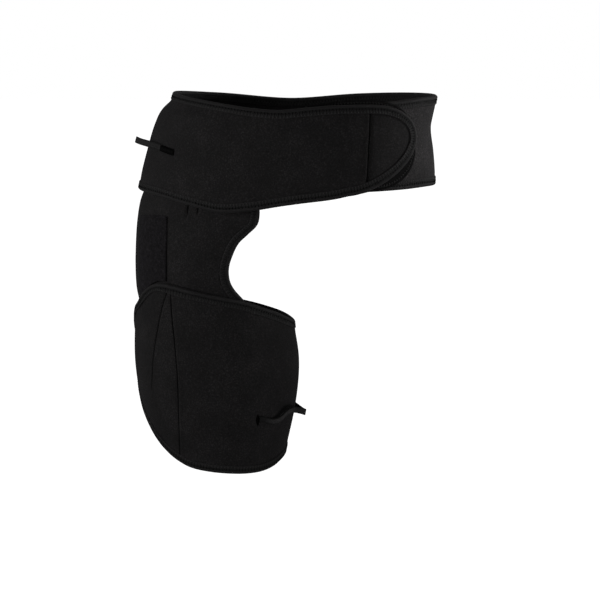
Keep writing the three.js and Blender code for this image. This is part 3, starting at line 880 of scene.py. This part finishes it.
def sideEnds(height):
    return wrap["tip"], readLongSeam(height)[0] - cloth["seamGap"] / 2 / wrap["degree"]


def frontEnds(height):
    return readLongSeam(height)[0] + cloth["seamGap"] / 2 / wrap["degree"], wrap["end"]


def sidePlace(u, v):
    turn, height, fromEdge = wrapSpot(u, v, sideEnds)
    along = turn * wrap["degree"]
    fromSeam = readLongSeam(height)[0] * wrap["degree"] - along
    dartTurn, sink = readDart(height)
    fromDart = along - dartTurn * wrap["degree"]
    dartRoll = wrap["dartRoll"] * bell(fromDart - wrap["dartRollAt"], wrap["dartRollWidth"])
    lift = layers["outer"] + clothRise(thighForm, turn, height, fromEdge, along, wrap)
    lift = lift + sink * (dartRoll - bell(fromDart, wrap["dartWidth"]))
    lift = lift - wrap["sideDip"] * np.exp(-fromSeam / wrap["sideDipRun"])
    return turn, height, lift, np.stack([along, height], axis=1)


def frontPlace(u, v):
    turn, height, fromEdge = wrapSpot(u ** wrap["crowding"], v, frontEnds)
    along = turn * wrap["degree"]
    fromSeam = along - readLongSeam(height)[0] * wrap["degree"]
    beside = bell(along - anchor["turn"] * wrap["degree"], anchor["width"])
    above = np.exp(-((height - anchor["height"]) / anchor["half"]) ** anchor["squareness"])
    lift = layers["outer"] + clothRise(thighForm, turn, height, fromEdge, along, wrap)
    lift = lift + seamRoll(fromSeam, wrap["rollWidth"]) - anchor["depth"] * beside * above
    return turn, height, lift, np.stack([along, height], axis=1)


def wrapEdgeLine():
    turns = np.linspace(wrap["tip"], wrap["end"], edgePoints["plain"])
    top, bottom = readWrap(turns)
    turn = np.concatenate([turns[::-1], turns])
    height = np.concatenate([top[::-1], bottom])
    edge = walkEdge(thighForm, turn, height, layers["outer"] + 0 * turn)
    onArc = blendOver(edge["turn"], *wrap["arcStart"]) * blendOver(edge["turn"], *wrap["arcEnd"])
    edge["width"] = edge["width"] - wrap["arcNarrow"] * onArc * (edge["height"] > wrap["arcLow"])
    return edge


thighSideCloth = layCloth("thighSideCloth", thighForm, wrap["sideCells"], sidePlace, cloth["thickness"])
finishPiece(thighSideCloth, looks["neoprene"], "thigh_side_panel")
thighFrontCloth = layCloth("thighFrontCloth", thighForm, wrap["frontCells"], frontPlace, cloth["thickness"])
finishPiece(thighFrontCloth, looks["neoprene"], "thigh_front_panel")
wrapEdge = wrapEdgeLine()
thighTape = foldTape("thighTape", wrapEdge, cloth["thickness"])
finishPiece(thighTape, looks["tape"], "thigh_binding")
print("thigh panels and their tape laid")

# Pull loops of woven tape
web = {
    "thickness": 1.2, "width": 6.5, "cells": (150, 10), "crown": 0.12, "crownSquareness": 4,
    # turn, height, lift
    "beltRows": [
        (-122, -8.5, 10.5), (-114, -5.5, 10.5), (-108, -2.5, 13.5), (-100, 1.5, 19.5), (-92, 5.4, 23.2),
        (-85, 7.6, 23.6), (-78, 8.4, 20.5), (-72, 8.6, 15.5), (-67, 8, 11.2), (-63.5, 6.9, 10.5),
        (-57.5, 4.9, 10.5),
    ],
    "thighRows": [
        (30, -283, 10.5), (33, -283.4, 10.5), (37.5, -286, 12), (42, -286.6, 14.5), (46, -284, 16.3),
        (50, -279, 18), (56, -277, 19.2), (64, -280, 20.2), (74, -284.5, 21), (86, -289, 21.5),
        (98, -291.5, 18.5), (108, -290.5, 14), (115, -289, 10.5), (122, -288.5, 10.5),
    ],
}


def webPlacer(rows, degree):
    read = tableReader(rows)
    first, last = rows[0][0], rows[-1][0]

    def place(u, v):
        turn = mix(first, last, u)
        middle, lift = read(turn)
        height = middle + web["width"] * (v - 0.5)
        crown = web["crown"] * (1 - (2 * v - 1) ** web["crownSquareness"])
        lift = np.maximum(lift, layers["web"]) + crown
        return turn, height, lift, np.stack([turn * degree, height - middle], axis=1)

    return place


beltWay, thighWay = webPlacer(web["beltRows"], belt["degree"]), webPlacer(web["thighRows"], wrap["degree"])
beltPull = layCloth("beltPull", waistForm, web["cells"], beltWay, web["thickness"])
finishPiece(beltPull, looks["web"], "belt_pull_loop")
thighPull = layCloth("thighPull", thighForm, web["cells"], thighWay, web["thickness"])
finishPiece(thighPull, looks["web"], "thigh_pull_loop")
print("pull loops laid")

# Sewing: zigzags along the tapes and round the tab, seams drawn down, bars over the ends of the pull loops;
# the near-black needle pits, seam lines, bars and pucker threads are painted shade
sewing = {
    "step": 2.2, "flatness": 0.5, "reach": 1.8,
    # heights between which each seam is sewn, rise above the layer's middle, radius
    "tongueSeam": ((-23, 49.3), 1.0, 1.75), "longSeam": ((-330, -141), 1.05, 0.95),
    "dartSpan": (-255, -141), "dartSink": 0.75, "dartDeepest": 1.5, "dartRadius": 0.7, "dartLeast": 0.12,
    # turns and heights of a bar's two ends, number of threads
    "beltBars": [((-65.4, -57.6), (7.5, 4.95), 34), ((-121.5, -115), (-8.3, -5.9), 28)],
    "thighBar": ((116, 121.5), (-288.8, -288.5), 14), "barRise": 0.6, "barRadius": 0.7,
    "pucker": ((28.3, 30.2), (-284, -285), 6), "puckerRise": 1.0, "puckerRadius": 0.62, "puckerReach": 6.2,
    "puckerTaper": 0.9,
}


# Painted shade: a near-black line of thread drawn down into a seam's groove.
def seamShadeThread(bm, form, turn, height, lift, radius):
    points = layOn(form, turn, height, lift)
    outward = outwardAt(form, turn, height)
    for k in range(len(points) - 1):
        addThread(bm, points[k], points[k + 1], outward[k], radius[k], sewing["flatness"], sewing["reach"])


def sewSeam(bm, form, readTurn, layer, seam):
    span, rise, radius = seam
    height = np.arange(*span, sewing["step"])
    seamShadeThread(bm, form, readTurn(height)[0], height, layer + rise + 0 * height, radius + 0 * height)


# painted shade down the dart's groove, widest where the dart sinks deepest
def sewDart(bm):
    height = np.arange(*sewing["dartSpan"], sewing["step"])
    turn, sink = readDart(height)
    lift = layers["outer"] + cloth["thickness"] / 2 - sewing["dartSink"] * sink
    radius = sewing["dartLeast"] + sewing["dartRadius"] * np.minimum(sink, sewing["dartDeepest"])
    seamShadeThread(bm, thighForm, turn, height, lift, radius)


def barTack(bm, form, bar, lift, radius, reach=web["width"] / 2, taper=0):
    turns, heights, count = bar
    share = np.linspace(0, 1, count)
    turn, height = mix(*turns, share), mix(*heights, share)
    reach = reach * np.sqrt(1 - taper * (2 * share - 1) ** 2)
    low = layOn(form, turn, height - reach, lift + 0 * turn)
    high = layOn(form, turn, height + reach, lift + 0 * turn)
    outward = outwardAt(form, turn, height)
    for k in range(count):
        addThread(bm, low[k], high[k], outward[k], radius)


def beltSewing(sewn):
    # painted shade down the tongue's seam
    sewSeam(sewn["pit"], waistForm, readSeam, layers["flap"], sewing["tongueSeam"])
    turn, height = endLine(readTab, tab["end"], tab["start"])
    tabEdge = walkEdge(waistForm, turn, height, layers["tab"] + 0 * turn)
    rise, short = tab["thickness"] / 2 + tab["sewnRise"], tape["width"] - tab["sewnFar"]
    zigzagThreads(sewn, tabEdge, rise, tab["sewnNear"], short, tab["pit"])
    # bar tacks over the belt loop's ends, near-black as painted shade on the sewn ends
    for bar in sewing["beltBars"]:
        barTack(sewn["pit"], waistForm, bar, layers["web"] + sewing["barRise"], sewing["barRadius"])


def thighSewing(sewn):
    # painted shade down the long seam and the dart
    sewSeam(sewn["pit"], thighForm, readLongSeam, layers["outer"], sewing["longSeam"])
    sewDart(sewn["pit"])
    # near-black threads in the pucker where the thigh loop is let in: painted shade in the dent
    lift, radius = layers["outer"] + sewing["puckerRise"], sewing["puckerRadius"]
    reach, taper = sewing["puckerReach"], sewing["puckerTaper"]
    barTack(sewn["pit"], thighForm, sewing["pucker"], lift, radius, reach, taper)
    # bar tack over the thigh loop's far end, near-black as painted shade
    lift, radius = layers["web"] + sewing["barRise"], sewing["barRadius"]
    barTack(sewn["pit"], thighForm, sewing["thighBar"], lift, radius)


# name, edge, size of its needle pits, further sewing
sewnEdges = [
    ("belt", beltEdge, 0.55, beltSewing), ("hip", hipEdge, 0.34, None),
    ("thigh", wrapEdge, 0.48, thighSewing),
]
for name, edge, pit, further in sewnEdges:
    sewn = {kind: bmesh.new() for kind in ("thread", "pit", "knot")}
    for face in (1, -1):
        zigzagThreads(sewn, edge, zigzag["rise"], zigzag["near"], zigzag["short"], pit, face)
    if further:
        further(sewn)
    for kind, bm in sewn.items():
        finishPiece(newObject(name + kind.title(), bm), looks[kind], None)
print("tapes and seams sewn")
# Stage, light and camera
stage = {"floor": -1.05, "size": 14, "cells": 8, "glow": 1.0, "backdrop": 1.0, "ambient": 0.12}
floorFinish = {
    "Base Color": (0.86, 0.86, 0.86, 1), "Roughness": 0.9, "Emission Color": (1, 1, 1, 1),
    "Emission Strength": stage["glow"],
}
floorMesh = bmesh.new()
bmesh.ops.create_grid(floorMesh, x_segments=stage["cells"], y_segments=stage["cells"], size=stage["size"])
bmesh.ops.translate(floorMesh, verts=floorMesh.verts[:], vec=(0, 0, stage["floor"]))
floor = newObject("floor", floorMesh)
floor.data.materials.append(newMaterial("paleFloor", floorFinish)[0])
floor.visible_diffuse = floor.visible_glossy = False

world = bpy.data.worlds.new("softWhite")
world.use_nodes = True
sky = world.node_tree
seen = sky.nodes.new("ShaderNodeLightPath").outputs["Is Camera Ray"]
strength = added(sky, stage["ambient"], seen, stage["backdrop"] - stage["ambient"])
sky.links.new(strength, sky.nodes["Background"].inputs["Strength"])
sky.nodes["Background"].inputs["Color"].default_value = (1, 1, 1, 1)
bpy.context.scene.world = world

# place, target, size, spread, watts
lamps = {
    "frontSoft": ((1.9, -2.3, -0.6), (0.0, 0, -0.22), 0.7, 160, 22),
    "leftSoft": ((-2.0, -0.7, 0.35), (-0.1, 0, -0.1), 0.9, 150, 15.2),
    "rightSoft": ((1.5, 0.35, 0.35), (0.16, -0.03, 0.1), 0.35, 16, 0.2),
    "backSoft": ((-0.1, 2.0, -0.9), (0.0, 0, -0.15), 0.5, 150, 25),
}
for name, (place, target, size, spread, watts) in lamps.items():
    lamp = bpy.data.lights.new(name, "AREA")
    lamp.size = size
    lamp.spread = math.radians(spread)
    lamp.energy = watts
    holder = bpy.data.objects.new(name, lamp)
    holder.location = place
    holder.rotation_euler = (Vector(target) - Vector(place)).to_track_quat("-Z", "Y").to_euler()
    bpy.context.scene.collection.objects.link(holder)

view = {
    "target": (0.0122, 0, -0.166), "distance": 2.4, "elevation": 9.8,
    "lens": 129.7, "sensor": 36, "clip": 100,
}
camera = bpy.data.cameras.new("camera")
camera.lens = view["lens"]
camera.sensor_width = view["sensor"]
camera.clip_end = view["clip"]
cameraHolder = bpy.data.objects.new("camera", camera)
tilt = math.radians(view["elevation"])
away = Vector((0, -math.cos(tilt), math.sin(tilt)))
cameraHolder.location = Vector(view["target"]) + view["distance"] * away
cameraHolder.rotation_euler = (math.pi / 2 - tilt, 0, 0)
bpy.context.scene.collection.objects.link(cameraHolder)
bpy.context.scene.camera = cameraHolder
bpy.context.scene.view_settings.view_transform = "Standard"
print("stage, light and camera set")
